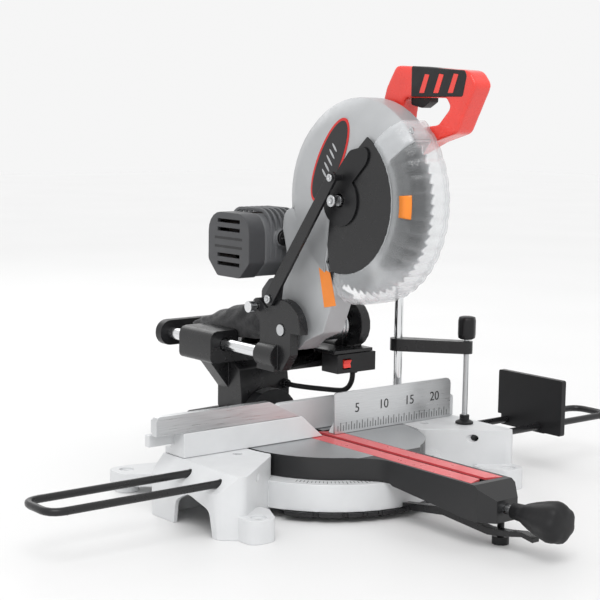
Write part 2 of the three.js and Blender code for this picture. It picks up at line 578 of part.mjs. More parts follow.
function saw() {
  const teeth = 24;
  const outline = [];
  for (let tooth = 0; tooth < teeth; tooth++) {
    const start = (tooth / teeth) * 2 * Math.PI;
    for (const [share, radius] of [[0, BLADE_RADIUS], [0.2, BLADE_RADIUS - 2], [0.8, BLADE_RADIUS - 7],
      [0.97, BLADE_RADIUS - 7]]) {
      const angle = start + (share * 2 * Math.PI) / teeth;
      outline.push([ARBOR.y + radius * Math.cos(angle), ARBOR.z + radius * Math.sin(angle)]);
    }
  }
  return cut(plate("x", outline, -1.3, 1.3), rod("x", AXLE, 8.35, -3, 3, 20));
}

const innerFlange = () => cut(rod("x", AXLE, 24, 1.3 + GAP, 4.6, 28), rod("x", AXLE, 8.35, 0, 9, 20));
const outerFlange = () => cut(rod("x", AXLE, 24, -7, -1.3 - GAP, 28), rod("x", AXLE, 8.35, -9, 0, 20));
const arborBolt = () => join(rod("x", AXLE, 7, -52, -8 - GAP, 20),
  rod("x", AXLE, 12, -12, -8 - GAP, 20));

// ---- Lower guard ---------------------------------------------------------------------
const GUARD_FROM = -97;
const GUARD_TO = 50;

// Keeps the part of a turned piece between two angles measured up from the front.
function sector(radius, from, to) {
  const points = arc(0, 0, radius, from, to, 10).map(([u, v]) => [ARBOR.y - u, ARBOR.z + v]);
  return plate("x", [AXLE, ...points], -70, 40);
}

function clearGuard() {
  const wall = 2.4;
  const outer = [[97, GUARD.left], [GUARD.shoulder, GUARD.left], [128, GUARD.left + 10],
    [GUARD.radius, GUARD.left + 24], [GUARD.radius, GUARD.right], [104, GUARD.right]];
  const inner = [[104, GUARD.right - wall], [GUARD.radius - wall, GUARD.right - wall],
    [GUARD.radius - wall, GUARD.left + 25], [127, GUARD.left + 12.5],
    [GUARD.shoulder - 1, GUARD.left + wall], [97, GUARD.left + wall], [97, GUARD.left]];
  return common(turned("x", AXLE, [...outer, ...inner], 48), sector(220, GUARD_FROM, GUARD_TO));
}

function guardPlate() {
  const front = arc(0, 0, 96.6, GUARD_FROM, 60, 8).map(([u, v]) => [ARBOR.y - u, ARBOR.z + v]);
  const outline = [...front, [-92, 470], [-52, 440], ...arc(...AXLE, 36, 50, -50, 20), [-46, 352],
    [-52, 318]];
  const hole = rod("x", AXLE, 24.5, -60, -20, 32);
  return cut(plate("x", outline, GUARD.left, GUARD.left + 2.6), hole);
}

function guardHub() {
  const disc = rod("x", AXLE, 34, -49, GUARD.left - GAP, 24);
  const lobe = plate("x", lever(AXLE, 20, [LINK.highY, LINK.highZ], 12), -49, GUARD.left - GAP);
  const cam = plate("x", rounded([[-66, 450, 8], [-92, 478, 10], [-132, 486, 10], [-124, 462, 12],
    [-84, 424, 6]]), -49, GUARD.left - GAP);
  const collar = ring("x", AXLE, 24, 20.5, -47, -43, 32);
  const pin = rod("x", [LINK.highY, LINK.highZ], 4, -60, -47, 14);
  return cut(join(disc, lobe, cam, collar, pin), rod("x", AXLE, 9, -60, -40, 24));
}

function guardLink() {
  const outline = lever([LINK.lowY, LINK.lowZ], 10, [LINK.highY, LINK.highZ], 8);
  const body = plate("x", outline, -66, -61.5);
  return cut(body, rod("x", [LINK.lowY, LINK.lowZ], 4.4, -70, -60, 16));
}
// ---- Handle ----------------------------------------------------------------------------
const GRIP = { left: 17.4, right: 47 };
function handle() {
  const outer = rounded([[-62, 488], [-86, 560, 4], [-104, 588, 10], [-236, 580, 18], [-250, 562, 10],
    [-218, 502, 12], [-176, 490, 10], [-130, 470], [-112, 458], [-62, 458]], 24);
  const hole = rounded([[-112, 500, 6], [-120, 546, 10], [-198, 546, 8], [-206, 534, 6],
    [-184, 512, 8], [-150, 508, 8]], 25);
  const body = plate("x", outer, GRIP.left, GRIP.right);
  const foot = block([HOOD.right + GAP, GRIP.right], [-112, -64], [458, 488]);
  const triggerSlot = block([24, 40], [-164, -126], [530, 572]);
  const buttonSlot = rod("x", [-112, 566], 5.4, 28, 60, 16);
  return cut(join(body, foot), plate("x", hole, 0, 60), triggerSlot, buttonSlot);
}

const trigger = () => plate("x", rounded([[-127, 537, 3], [-127, 558, 3], [-162, 558, 3],
  [-162, 541, 3], [-148, 533, 4]]), 24.6, 39.4);
const lockOff = () => rod("x", [-112, 566], 5, 35, 51, 16);

// ---- Dust chute and bag ----------------------------------------------------------------------
function dustChute() {
  const outline = rounded([[64, 294], [92, 294, 8], [110, 276, 6], [110, 240], [98, 236], [80, 256, 8]]);
  return cut(plate("x", outline, -36, 0), rod("y", [-18, 258], 9, 90, 150, 20));
}

function dustBag() {
  const outline = rounded([[112, 262, 8], [112, 206, 12], [160, 194, 16], [236, 192, 20],
    [296, 194, 8], [300, 206, 6], [262, 220, 20], [180, 248, 40], [140, 247.4, 2]], 24);
  return plate("x", outline, -31, 31);
}

// ---- Cords ------------------------------------------------------------------------------
const CORD_RADIUS = 4;
const GLAND = { radius: 7, base: [40, 22], box: [60, 20], arm: [36, 128] };
const COIL = { x: 90, y: 262, inner: 32, outer: 56, height: 16 };
const PLUG = { x: 145.1, y: 278, body: 34, blades: 50 };

const through = (...points) =>
  new THREE.CatmullRomCurve3(points.map((point) => new THREE.Vector3(...point)));

// From under the switch box back to the tilting arm.
const cordDrop = () => tube(through([60, 20, 159.5], [60, 20.3, 154], [60, 22.6, 146], [60, 29, 137.5],
  [59.8, 38.5, 131.9], [59.4, 50, 129.6], [56, 76, 127.6], [47, 102, 127], [38, 122, 127.6],
  [36, 130, 128], [36, 137, 128]), CORD_RADIUS, 26, 8);

// From the rear of the base down to the bench and back to the coil.
const cordLead = () => tube(through([40, 158.4, 22], [40, 168, 21.4], [39.8, 180, 18.2],
  [39.4, 193, 12.2], [38.8, 206, 7.2], [38.3, 219, 4.9], [38, 232.4, 4.5]), CORD_RADIUS, 14, 8);

function cordCoil() {
  const { x, y, inner, outer, height } = COIL;
  const profile = [[inner, 4], [inner + 4, 0], [outer - 4, 0], [outer, 4], [outer, height - 4],
    [outer - 4, height], [inner + 4, height], [inner, height - 4], [inner, 4]];
  return turned("z", [x, y], profile, 28);
}

function cordPlug() {
  const { x, y, body, blades } = PLUG;
  const grip = plate("z", rounded([[x, y - 4], [x + 10, y - 9, 4], [x + body, y - 12, 4],
    [x + body, y + 12, 4], [x + 10, y + 9, 4], [x, y + 4]]), 0, COIL.height);
  const pins = [-6, 6].map((offset) =>
    block([x + body - 4, x + blades], [y + offset - 0.8, y + offset + 0.8], [5, 11]));
  return join(grip, ...pins);
}

// ---- Assembly --------------------------------------------------------------------------------
const saws = new THREE.Group();
function add(name, solid, material) {
  const mesh = new THREE.Mesh(geometryOf(solid), material);
  mesh.name = name;
  saws.add(mesh);
}

add("base_casting", baseCasting(), castingWhite);
add("detent_plate", detentPlate(), blackPaint);
add("fence_casting", fenceCasting(), castingWhite);
add("fence_slider", fenceSlider(), aluminium);
add("ruler_plate", rulerPlate(), aluminium);
add("support_bar_left", supportBar(-1), blackPaint);
add("support_bar_right", supportBar(1), blackPaint);
add("stop_plate", stopPlate(), blackPlastic);
add("clamp_post", clampPost(), chrome);
add("clamp_arm", clampArm(), blackPaint);
add("clamp_screw", clampScrew(), steel);
add("clamp_pad", clampPad(), blackPlastic);
add("turntable_casting", turntableCasting(), tableMetal);
add("turntable_pin", pivotPin(), steel);
add("kerf_plate_left", kerfPlate(-1), pinkPlastic);
add("kerf_plate_right", kerfPlate(1), pinkPlastic);
add("miter_lock_screw", lockScrew(), steel);
add("miter_lock_knob", lockKnob(), rubber);
add("detent_lever", detentLever(), blackPaint);
add("foot_screw", footScrew(), blackPlastic);
add("bevel_bolt", bevelBolt(), steel);
add("bevel_housing", bevelHousing(), blackPaint);
add("bevel_lock_lever", bevelLever(), blackPlastic);
add("slide_lock_knob", slideKnob(), blackPlastic);
add("rail_left", rail(-1), chrome);
add("rail_right", rail(1), chrome);
add("rail_cap", railCap(), blackPaint);
add("carriage_yoke", carriageYoke(), blackPaint);
add("pivot_shaft", pivotShaft(), steel);
add("head_spring", headSpring(), steel);
add("switch_box", switchBox(), blackPlastic);
add("rocker_switch", rockerSwitch(), redPlastic);
add("head_lock_pin", lockPin(), chrome);
add("head_casting", headCasting(), castingGrey);
add("gear_case", gearCase(), blackPlastic);
add("motor_housing", motorHousing(), greyPlastic);
add("motor_end_cap", motorEndCap(), darkPlastic);
add("motor_armature", motorArmature(), copper);
add("motor_pulley", motorPulley(), steel);
add("arbor_pulley", arborPulley(), steel);
add("drive_belt", driveBelt(), rubber);
add("arbor_shaft", arborShaft(), steel);
add("blade", saw(), bladeSteel);
add("blade_flange_inner", innerFlange(), steel);
add("blade_flange_outer", outerFlange(), steel);
add("arbor_bolt", arborBolt(), steel);
add("lower_guard", clearGuard(), clear);
add("guard_plate", guardPlate(), blackPaint);
add("guard_hub", guardHub(), blackPaint);
add("guard_link", guardLink(), blackPaint);
add("handle", handle(), redPlastic);
add("trigger", trigger(), blackPlastic);
add("lock_off_button", lockOff(), blackPlastic);
add("dust_chute", dustChute(), darkPlastic);
add("dust_bag", dustBag(), fabric);
add("cord_drop", cordDrop(), rubber);
add("cord_lead", cordLead(), rubber);
add("cord_coil", cordCoil(), rubber);
add("cord_plug", cordPlug(), rubber);

export default saws;
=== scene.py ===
"""The looks of a sliding miter saw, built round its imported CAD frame.

Shapes are given in millimetres and drawn in the frame's own axes: +X is the operator's right,
+Y points away from the operator and +Z is up.
"""
import math

import bmesh
import bpy
from mathutils import Matrix, Vector


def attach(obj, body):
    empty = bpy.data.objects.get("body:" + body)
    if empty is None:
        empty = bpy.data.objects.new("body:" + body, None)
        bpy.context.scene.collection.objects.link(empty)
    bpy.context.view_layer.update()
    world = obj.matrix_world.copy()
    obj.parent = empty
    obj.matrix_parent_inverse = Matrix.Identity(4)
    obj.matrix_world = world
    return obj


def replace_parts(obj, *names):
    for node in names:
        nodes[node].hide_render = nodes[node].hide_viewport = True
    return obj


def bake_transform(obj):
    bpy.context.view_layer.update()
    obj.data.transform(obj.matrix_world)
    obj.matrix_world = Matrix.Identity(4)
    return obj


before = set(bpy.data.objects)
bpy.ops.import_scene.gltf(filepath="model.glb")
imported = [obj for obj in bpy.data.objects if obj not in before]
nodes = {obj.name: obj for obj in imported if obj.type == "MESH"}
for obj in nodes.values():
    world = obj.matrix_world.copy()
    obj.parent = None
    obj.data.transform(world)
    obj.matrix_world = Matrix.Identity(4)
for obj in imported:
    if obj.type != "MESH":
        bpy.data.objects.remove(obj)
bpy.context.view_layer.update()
scene = bpy.context.scene
MM = 0.001


# ---- Camera ------------------------------------------------------------------
def make_camera(place, azimuth, elevation, roll, lens):
    data = bpy.data.cameras.new("camera")
    data.lens = lens
    data.sensor_width = 36
    camera = bpy.data.objects.new("camera", data)
    scene.collection.objects.link(camera)
    a, e, r = (math.radians(angle) for angle in (azimuth, elevation, roll))
    back = Vector((math.sin(a) * math.cos(e), -math.cos(a) * math.cos(e), math.sin(e)))
    level = Vector((math.cos(a), math.sin(a), 0))
    above = back.cross(level)
    right = level * math.cos(r) + above * math.sin(r)
    up = above * math.cos(r) - level * math.sin(r)
    camera.matrix_world = Matrix.Translation(place) @ Matrix((right, up, back)).transposed().to_4x4()
    scene.camera = camera


make_camera((-1.2972, -1.5466, 0.5279), azimuth=-38.8, elevation=7.3, roll=0.8, lens=88.8)


# ---- Materials ---------------------------------------------------------------
class Shader:
    """A node material with the few building blocks that the surfaces here share."""

    def __init__(self, name):
        self.material = bpy.data.materials.new(name)
        self.material.use_nodes = True
        self.tree = self.material.node_tree
        self.principled = self.tree.nodes["Principled BSDF"]
        self.place = self.node("ShaderNodeTexCoord").outputs["Object"]

    def node(self, kind, **settings):
        made = self.tree.nodes.new(kind)
        for name, value in settings.items():
            setattr(made, name, value)
        return made

    def link(self, source, target):
        self.tree.links.new(source, target)

    def set(self, **values):
        for name, value in values.items():
            self.principled.inputs[name.replace("_", " ")].default_value = value

    def noise(self, size, stretch=(1, 1, 1), detail=4.0):
        """Noise with features of about that size in millimetres, drawn out along an axis by stretch."""
        mapping = self.node("ShaderNodeMapping")
        mapping.inputs["Scale"].default_value = stretch
        self.link(self.place, mapping.inputs["Vector"])
        noise = self.node("ShaderNodeTexNoise")
        noise.inputs["Scale"].default_value = 1 / (size * MM)
        noise.inputs["Detail"].default_value = detail
        self.link(mapping.outputs["Vector"], noise.inputs["Vector"])
        return noise.outputs["Fac"]

    def spread(self, source, low, high):
        """A noise's middle range stretched to run from low to high."""
        ranged = self.node("ShaderNodeMapRange")
        ranged.inputs["From Min"].default_value = 0.3
        ranged.inputs["From Max"].default_value = 0.7
        ranged.inputs["To Min"].default_value = low
        ranged.inputs["To Max"].default_value = high
        self.link(source, ranged.inputs["Value"])
        return ranged.outputs["Result"]

    def mix(self, factor, first, second):
        mixed = self.node("ShaderNodeMix", data_type="RGBA")
        for socket, value in ((mixed.inputs[6], first), (mixed.inputs[7], second)):
            if isinstance(value, tuple):
                socket.default_value = (*value, 1)
            else:
                self.link(value, socket)
        self.link(factor, mixed.inputs[0])
        return mixed.outputs[2]

    def bump(self, height, depth, strength=0.5, under=None):
        """Relief of that depth in millimetres, over another relief if one is given."""
        relief = self.node("ShaderNodeBump")
        relief.inputs["Distance"].default_value = depth * MM
        relief.inputs["Strength"].default_value = strength
        self.link(height, relief.inputs["Height"])
        if under:
            self.link(under, relief.inputs["Normal"])
        return relief.outputs["Normal"]

    def finish(self, colour, roughness, normal):
        self.link(colour, self.principled.inputs["Base Color"])
        self.link(roughness, self.principled.inputs["Roughness"])
        self.link(normal, self.principled.inputs["Normal"])
        return self.material


def tint(colour, amount):
    return tuple(min(1.0, channel * amount) for channel in colour)


def plain(name, colour, roughness, metallic=0.0, grain=0.5, depth=0.05, mottle=0.07, coat=0.0,
          shine=0.5):
    """Paint or moulded plastic: faint cloudiness, varied gloss and a fine grain."""
    s = Shader(name)
    s.set(Metallic=metallic, Coat_Weight=coat, Coat_Roughness=0.15, Specular_IOR_Level=shine)
    cloud = s.noise(35)
    fine = s.noise(grain, detail=2)
    shade = s.mix(s.spread(cloud, 0, 1), tint(colour, 1 - mottle), tint(colour, 1 + mottle))
    rough = s.spread(s.noise(12), roughness - 0.06, roughness + 0.06)
    return s.finish(shade, rough, s.bump(fine, depth))


def brushed(name, colour, roughness, along, line=0.5, depth=0.02):
    """Metal with fine lines drawn along one axis."""
    s = Shader(name)
    s.set(Metallic=1.0)
    stretch = tuple(0.02 if axis == along else 1 for axis in "xyz")
    lines = s.noise(line, stretch, detail=6)
    shade = s.mix(s.spread(lines, 0, 1), tint(colour, 0.9), tint(colour, 1.06))
    rough = s.spread(lines, roughness - 0.08, roughness + 0.1)
    return s.finish(shade, rough, s.bump(lines, depth, 0.4))


def machined_table():
    """A turned top face with ring marks, and black painted sides."""
    s = Shader("machined_table")
    black, silver = (0.012, 0.012, 0.013), (0.60, 0.61, 0.62)
    geometry = s.node("ShaderNodeNewGeometry")
    facing = s.node("ShaderNodeSeparateXYZ")
    s.link(geometry.outputs["Normal"], facing.inputs[0])
    height = s.node("ShaderNodeSeparateXYZ")
    s.link(s.place, height.inputs[0])
    up = s.node("ShaderNodeMath", operation="GREATER_THAN")
    up.inputs[1].default_value = 0.9
    s.link(facing.outputs["Z"], up.inputs[0])
    top = s.node("ShaderNodeMath", operation="GREATER_THAN")
    top.inputs[1].default_value = 0.0796
    s.link(height.outputs["Z"], top.inputs[0])
    round_part = s.node("ShaderNodeMath", operation="GREATER_THAN")
    round_part.inputs[1].default_value = -0.128
    s.link(height.outputs["Y"], round_part.inputs[0])
    on_top = s.node("ShaderNodeMath", operation="MULTIPLY")
    s.link(up.outputs[0], on_top.inputs[0])
    s.link(top.outputs[0], on_top.inputs[1])
    silver_part = s.node("ShaderNodeMath", operation="MULTIPLY")
    s.link(on_top.outputs[0], silver_part.inputs[0])
    s.link(round_part.outputs[0], silver_part.inputs[1])
    on_top = silver_part
    rings = s.node("ShaderNodeTexWave", wave_type="RINGS", rings_direction="Z")
    rings.inputs["Scale"].default_value = 210
    rings.inputs["Distortion"].default_value = 1.5
    s.link(s.place, rings.inputs["Vector"])
    brightness = s.spread(rings.outputs["Fac"], 0, 1)
    turned = s.mix(brightness, tint(silver, 0.86), tint(silver, 1.05))
    colour = s.mix(on_top.outputs[0], black, turned)
    s.link(on_top.outputs[0], s.principled.inputs["Metallic"])
    rough = s.node("ShaderNodeMapRange")
    rough.inputs["To Min"].default_value = 0.3
    rough.inputs["To Max"].default_value = 0.42
    s.link(brightness, rough.inputs["Value"])
    relief = s.bump(rings.outputs["Fac"], 0.02, 0.3, s.bump(s.noise(0.8, detail=2), 0.05, 0.3))
    return s.finish(colour, rough.outputs["Result"], relief)


def woven(name, colour, thread=1.1):
    """Coarse woven cloth: two crossed sets of threads."""
    s = Shader(name)
    s.set(Sheen_Weight=0.35, Sheen_Roughness=0.5)
    threads = []
    for direction in ("X", "Y", "Z"):
        wave = s.node("ShaderNodeTexWave", wave_type="BANDS", bands_direction=direction)
        wave.inputs["Scale"].default_value = 0.31 / (thread * MM)
        wave.inputs["Distortion"].default_value = 0.6
        s.link(s.place, wave.inputs["Vector"])
        threads.append(wave.outputs["Fac"])
    both = threads[0]
    for other in threads[1:]:
        added = s.node("ShaderNodeMath", operation="ADD")
        s.link(both, added.inputs[0])
        s.link(other, added.inputs[1])
        both = added.outputs[0]
    shade = s.mix(s.spread(s.noise(18), 0, 1), tint(colour, 0.75), tint(colour, 1.35))
    rough = s.spread(s.noise(6), 0.82, 0.95)
    return s.finish(shade, rough, s.bump(both, 0.25, 0.5, s.bump(s.noise(9), 0.8, 0.5)))


def clear_plastic():
    """Clear moulded plastic: see-through head on, denser and whiter where it is seen edge on, partly from
    the longer path through its haze and partly as a painted reflection.
    """
    s = Shader("clear_plastic")
    s.set(Roughness=0.06, IOR=1.5, Specular_IOR_Level=0.8)
    haze_and_reflection = s.mix(s.spread(s.noise(30), 0, 1), (0.80, 0.83, 0.85), (0.9, 0.92, 0.94))
    s.link(haze_and_reflection, s.principled.inputs["Base Color"])
    s.link(s.bump(s.noise(14), 0.3, 0.25), s.principled.inputs["Normal"])
    # Opacity rises towards grazing angles, so the pale colour shows as a whitish rim: real haze with a
    # painted reflection over it.
    facing = s.node("ShaderNodeLayerWeight")
    facing.inputs["Blend"].default_value = 0.35
    alpha = s.node("ShaderNodeMapRange")
    alpha.inputs["To Min"].default_value = 0.07
    alpha.inputs["To Max"].default_value = 0.62
    s.link(facing.outputs["Facing"], alpha.inputs["Value"])
    s.link(alpha.outputs["Result"], s.principled.inputs["Alpha"])
    return s.material


WHITE_CAST = plain("white_cast", (0.68, 0.69, 0.70), 0.42, grain=0.9, depth=0.12, mottle=0.03)
GREY_CAST = plain("grey_cast", (0.43, 0.44, 0.45), 0.4, metallic=0.2, grain=0.8, depth=0.08, mottle=0.04)
BLACK_PAINT = plain("black_paint", (0.012, 0.012, 0.013), 0.3, grain=1.0, depth=0.1, coat=0.12, shine=0.35)
BLACK_PLASTIC = plain("black_plastic", (0.012, 0.012, 0.013), 0.38, grain=0.5, depth=0.07, shine=0.3)
GREY_PLASTIC = plain("grey_plastic", (0.115, 0.118, 0.124), 0.46, grain=0.5, depth=0.08)
DARK_PLASTIC = plain("dark_plastic", (0.055, 0.056, 0.06), 0.45, grain=0.5, depth=0.08)
RED_PLASTIC = plain("red_plastic", (0.82, 0.045, 0.03), 0.28, grain=0.6, depth=0.03, coat=0.4)
PINK_PLASTIC = plain("pink_plastic", (0.72, 0.09, 0.10), 0.32, grain=0.6, depth=0.03, coat=0.2)
SOFT_GRIP = plain("soft_grip", (0.010, 0.010, 0.011), 0.62, grain=0.35, depth=0.1)
RUBBER = plain("rubber", (0.012, 0.012, 0.013), 0.5, grain=0.6, depth=0.06, shine=0.3)
ORANGE = plain("orange_label", (0.85, 0.24, 0.02), 0.35, grain=0.5, depth=0.01)
RED_INK = plain("red_ink", (0.60, 0.015, 0.012), 0.35, grain=0.5, depth=0.01)
# Black ink for print, also used as painted shade in the motor cap's slots.
BLACK_INK_AND_SHADE = plain("black_ink_and_shade", (0.01, 0.01, 0.011), 0.4, grain=0.5, depth=0.01)
COPPER = plain("copper", (0.52, 0.23, 0.12), 0.35, metallic=1.0, grain=1.2, depth=0.2)
STEEL_X = brushed("steel_x", (0.56, 0.57, 0.58), 0.3, "x")
STEEL_Y = brushed("steel_y", (0.56, 0.57, 0.58), 0.3, "y")
STEEL_Z = brushed("steel_z", (0.56, 0.57, 0.58), 0.3, "z")
PLATE = brushed("fence_aluminium", (0.66, 0.67, 0.68), 0.34, "x", line=0.8)
CHROME_Y = brushed("chrome_y", (0.78, 0.79, 0.80), 0.14, "y", line=1.2, depth=0.004)
CHROME_Z = brushed("chrome_z", (0.78, 0.79, 0.80), 0.14, "z", line=1.2, depth=0.004)
CHROME_X = brushed("chrome_x", (0.78, 0.79, 0.80), 0.14, "x", line=1.2, depth=0.004)
BLADE_STEEL = brushed("blade_steel", (0.50, 0.51, 0.52), 0.26, "x", line=0.7)
TABLE_METAL = machined_table()
CLOTH = woven("bag_cloth", (0.018, 0.018, 0.02))
CLEAR = clear_plastic()


# ---- Mesh building -----------------------------------------------------------
def place_on(axis, u, v, along):
    """A point on an axis through (u, v), which are the two other axes in order."""
    return {"x": (along, u, v), "y": (u, along, v), "z": (u, v, along)}[axis]


def piece(name, vertices, faces, material, body, slot, bevel=0.0, smooth=True, segments=2):
    mesh = bpy.data.meshes.new(name)
    mesh.from_pydata([Vector(v) * MM for v in vertices], [], faces)
    edit = bmesh.new()
    edit.from_mesh(mesh)
    bmesh.ops.remove_doubles(edit, verts=edit.verts, dist=1e-7)
    bmesh.ops.recalc_face_normals(edit, faces=edit.faces)
    edit.to_mesh(mesh)
    edit.free()
    made = bpy.data.objects.new(name, mesh)
    scene.collection.objects.link(made)
    mesh.materials.append(material)
    for polygon in mesh.polygons:
        polygon.use_smooth = smooth
    if bevel:
        soften(made, bevel, segments)
    if body:
        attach(made, body)
    return made if slot else made


def soften(target, width, segments=2, limit=32):
    edges = target.modifiers.new("edges", "BEVEL")
    edges.width = width * MM
    edges.segments = segments
    edges.limit_method = "ANGLE"
    edges.angle_limit = math.radians(limit)
    edges.use_clamp_overlap = True
    edges.harden_normals = True


def prism(name, axis, outline, low, high, material, body, slot, **look):
    """An outline in the two axes across the named one, drawn out between two places on it."""
    count = len(outline)
    vertices = [place_on(axis, u, v, along) for along in (low, high) for u, v in outline]
    sides = [(i, (i + 1) % count, count + (i + 1) % count, count + i) for i in range(count)]
    faces = [tuple(range(count)), tuple(range(count, 2 * count)), *sides]
    return piece(name, vertices, faces, material, body, slot, **look)


def box(name, x, y, z, material, body, slot, bevel=0.5):
    return prism(name, "z", [(x[0], y[0]), (x[1], y[0]), (x[1], y[1]), (x[0], y[1])], *z,
                 material, body, slot, bevel=bevel)


def turned_mesh(axis, centre, profile, count=64, start=0.0, sweep=360.0, wave=None):
    """Vertices and faces of a profile of (radius, along) points turned about an axis."""
    full = abs(sweep) > 359.9
    rows = count if full else count + 1
    vertices = []
    for row in range(rows):
        angle = math.radians(start + sweep * row / count)
        for radius, along in profile:
            grown = radius * (wave(angle, radius, along) if wave else 1)
            u = centre[0] + grown * math.cos(angle)
            v = centre[1] + grown * math.sin(angle)
            vertices.append(place_on(axis, u, v, along))
    size = len(profile)
    faces = []
    for row in range(count):
        after = (row + 1) % rows
        for index in range(size - 1):
            faces.append((row * size + index, row * size + index + 1,
                          after * size + index + 1, after * size + index))
    return vertices, faces


def turned(name, axis, centre, profile, material, body, slot, count=48, wave=None, **look):
    """A solid turned from a profile that starts and ends on the axis or closes on itself."""
    vertices, faces = turned_mesh(axis, centre, profile, count, wave=wave)
    return piece(name, vertices, faces, material, body, slot, **look)


def arc(u, v, radius, start, end, count=12):
    angles = [math.radians(start + (end - start) * i / count) for i in range(count + 1)]
    return [(u + radius * math.cos(a), v + radius * math.sin(a)) for a in angles]


def rounded(corners, count=6):
    """A polygon whose corners (u, v, radius) are rounded by that radius."""
    points = []
    for index, (u, v, radius) in enumerate(corners):
        here = Vector((u, v))
        if not radius:
            points.append((u, v))
            continue
        back = (Vector(corners[index - 1][:2]) - here).normalized()
        ahead = (Vector(corners[(index + 1) % len(corners)][:2]) - here).normalized()
        half = math.acos(max(-1.0, min(1.0, back.dot(ahead)))) / 2
        centre = here + (back + ahead).normalized() * radius / math.sin(half)
        first = here + back * radius / math.tan(half) - centre
        last = here + ahead * radius / math.tan(half) - centre
        turn = math.atan2(first.x * last.y - first.y * last.x, first.dot(last))
        start = math.atan2(first.y, first.x)
        points += arc(*centre, radius, math.degrees(start), math.degrees(start + turn), count)
    return points


def smooth_path(points, steps=6):
    """A smooth path through given points."""
    ends = [2 * Vector(points[0]) - Vector(points[1])]
    after = [2 * Vector(points[-1]) - Vector(points[-2])]
    knots = ends + [Vector(p) for p in points] + after
    path = []
    for i in range(1, len(knots) - 2):
        a, b, c, d = knots[i - 1:i + 3]
        for step in range(steps):
            t = step / steps
            path.append(0.5 * (2 * b + (c - a) * t + (2 * a - 5 * b + 4 * c - d) * t * t
                               + (3 * b - a - 3 * c + d) * t ** 3))
    return path + [Vector(points[-1])]


def swept(name, path, radius, material, body, slot, sides=16):
    """A round tube along a path, of one radius or of one that changes evenly from first to last."""
    first_radius, last_radius = radius if isinstance(radius, tuple) else (radius, radius)
    path = [Vector(p) for p in path]
    count = len(path)
    vertices, faces = [], []
    side = None
    for index, place in enumerate(path):
        before = path[index - 1] if index else place
        after = path[index + 1] if index < count - 1 else place
        ahead = (after - before).normalized()
        if side is None:
            side = ahead.orthogonal().normalized()
        side = (side - ahead * side.dot(ahead)).normalized()
        other = ahead.cross(side)
        width = first_radius + (last_radius - first_radius) * index / (count - 1)
        for turn in range(sides):
            angle = 2 * math.pi * turn / sides
            vertices.append(place + (side * math.cos(angle) + other * math.sin(angle)) * width)
    for ring in range(count - 1):
        for turn in range(sides):
            beside = (turn + 1) % sides
            faces.append((ring * sides + turn, ring * sides + beside,
                          (ring + 1) * sides + beside, (ring + 1) * sides + turn))
    faces += [tuple(range(sides)), tuple(range((count - 1) * sides, count * sides))]
    return piece(name, vertices, faces, material, body, slot)


# ---- Cords -------------------------------------------------------------------
CORD = 3.75
COIL = {"x": 90, "y": 262, "inner": 29.1, "outer": 52.2, "low": 4.2, "high": 11.9}


def coil_turns():
    """Three turns winding in on the bench, a short rise, and two turns back out on top of them."""
    inner, outer, low, high = COIL["inner"], COIL["outer"], COIL["low"], COIL["high"]
    places = [(180 - 7.5 * step, outer - (outer - inner) * step / 144, low) for step in range(144)]
    for step in range(12):
        rise = 0.5 - 0.5 * math.cos(math.pi * step / 12)
        places.append((180 - 7.5 * step, inner, low + rise * (high - low)))
    places += [(90 - 7.5 * step, inner + 15.9 * step / 100, high) for step in range(101)]
    return [(COIL["x"] + r * math.cos(math.radians(a)), COIL["y"] + r * math.sin(math.radians(a)), z)
            for a, r, z in places]


def cords():
    drop = smooth_path([(60, 20, 159.5), (60, 20.3, 154), (60, 22.6, 146), (60, 29, 137.5),
                        (59.8, 38.5, 131.9), (59.4, 50, 129.6), (56, 76, 127.6), (47, 102, 127),
                        (38, 122, 127.6), (36, 130, 128), (36, 137, 128)], 5)
    hanging = swept("switch_cord", drop, CORD, RUBBER, None, "rubber")
    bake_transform(hanging)
    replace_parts(hanging, "cord_drop")
    lead = smooth_path([(40, 158.4, 22), (40, 168, 21.4), (39.8, 180, 18.2), (39.4, 193, 12.2),
                        (38.8, 206, 7.2), (38.3, 219, 4.9), (38, 232.4, 4.5), (38, 248, 4.25)], 5)
    turns = coil_turns()
    last = Vector(turns[-1])
    ahead = (last - Vector(turns[-2])).normalized()
    tail = smooth_path([tuple(last), tuple(last + ahead * 10), (129, 287.5, 11.9), (138, 282, 11.6),
                        (146, 278.6, 10.2)], 4)
    path = lead + [Vector(p) for p in turns[:-1]] + tail
    mains = swept("mains_cord", path, CORD, RUBBER, "base", "rubber")
    relief = swept("strain_relief", lead[:14], (6.4, 4.3), RUBBER, "base", "rubber", sides=24)
    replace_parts(mains, "cord_lead", "cord_coil")


cords()

# ---- The CAD pieces that keep their shape ------------------------------------
def recolour(name, material):
    """A CAD piece with one smooth material on it."""
    node = nodes[name]
    mesh = node.data
    mesh.materials.clear()
    mesh.materials.append(material)
    if "custom_normal" in mesh.attributes:
        mesh.attributes.remove(mesh.attributes["custom_normal"])
    for polygon in mesh.polygons:
        polygon.use_smooth = True
    return node


def dress(name, material, bevel):
    """A CAD piece in its material, with its edges eased."""
    node = recolour(name, material)
    weld = node.modifiers.new("weld", "WELD")
    weld.merge_threshold = 1e-5
    flat = node.modifiers.new("flat", "DECIMATE")
    flat.decimate_type = "DISSOLVE"
    flat.angle_limit = math.radians(1.2)
    soften(node, bevel)
    node.modifiers["edges"].use_clamp_overlap = False


def moulded(name, material, cell=1.6, rounds=6):
    """A CAD piece with its edges well rounded, as a moulded cover has."""
    node = recolour(name, material)
    grid = node.modifiers.new("grid", "REMESH")
    grid.mode = "VOXEL"
    grid.voxel_size = cell * MM
    grid.use_smooth_shade = True
    ease = node.modifiers.new("ease", "SMOOTH")
    ease.factor = 0.6
    ease.iterations = rounds


